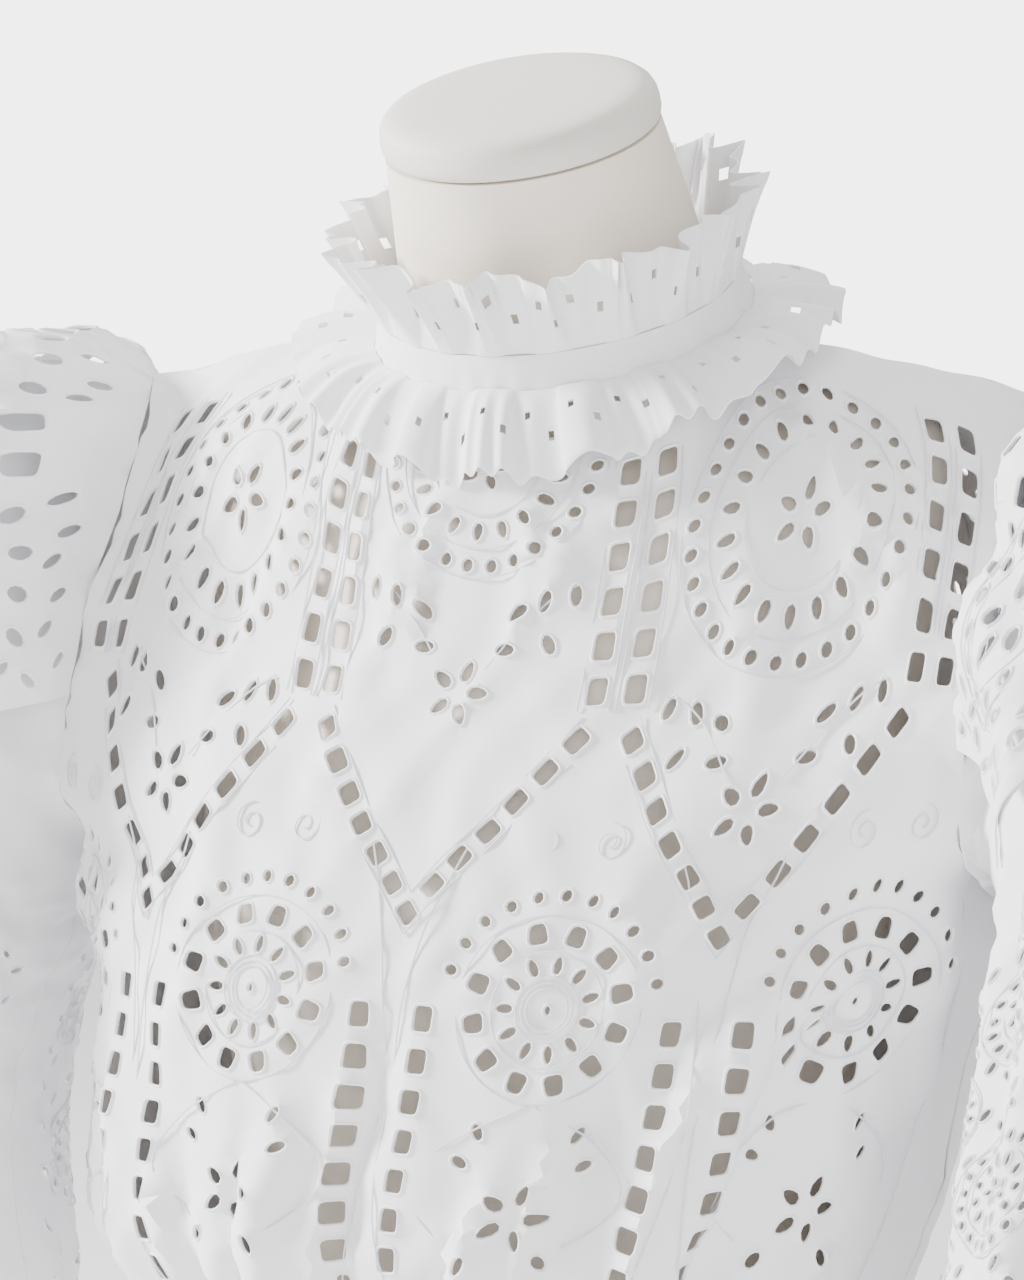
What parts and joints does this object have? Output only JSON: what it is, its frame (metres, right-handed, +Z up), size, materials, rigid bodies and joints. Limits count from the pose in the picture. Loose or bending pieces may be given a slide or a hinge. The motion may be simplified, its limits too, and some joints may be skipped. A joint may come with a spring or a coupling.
{
  "type": "peplum blouse on limbless dress form",
  "caption": "White eyelet cotton peplum blouse with a ruffled high collar and long full sleeves, on a cream limbless dress form.",
  "frame": {"origin": "centre of the dress form's flat underside", "axes": "+Z up, -Y towards the garment's front, +X towards the wearer's left"},
  "size_m": [0.6948, 0.3249, 0.8109],
  "materials": {
    "eyelet_cotton": "matte",
    "form_cover": "matte",
    "button_shell": "satin"
  },
  "bodies": {
    "root": {"front_bodice": "eyelet_cotton", "back_bodice": "eyelet_cotton", "collar_band": "eyelet_cotton", "standing_ruffle": "eyelet_cotton", "falling_ruffle": "eyelet_cotton", "sleeve_front_left": "eyelet_cotton", "sleeve_back_left": "eyelet_cotton", "sleeve_front_right": "eyelet_cotton", "sleeve_back_right": "eyelet_cotton", "cap_tier_left": "eyelet_cotton", "cap_tier_right": "eyelet_cotton", "tier_hem_left": "eyelet_cotton", "tier_hem_right": "eyelet_cotton", "cuff_left": "eyelet_cotton", "cuff_right": "eyelet_cotton", "peplum_front": "eyelet_cotton", "peplum_back": "eyelet_cotton", "back_placket": "eyelet_cotton", "button_1": "button_shell", "button_2": "button_shell", "button_3": "button_shell", "button_4": "button_shell", "form_torso": "form_cover", "form_neck_cap": "form_cover"}
  },
  "joints": []
}
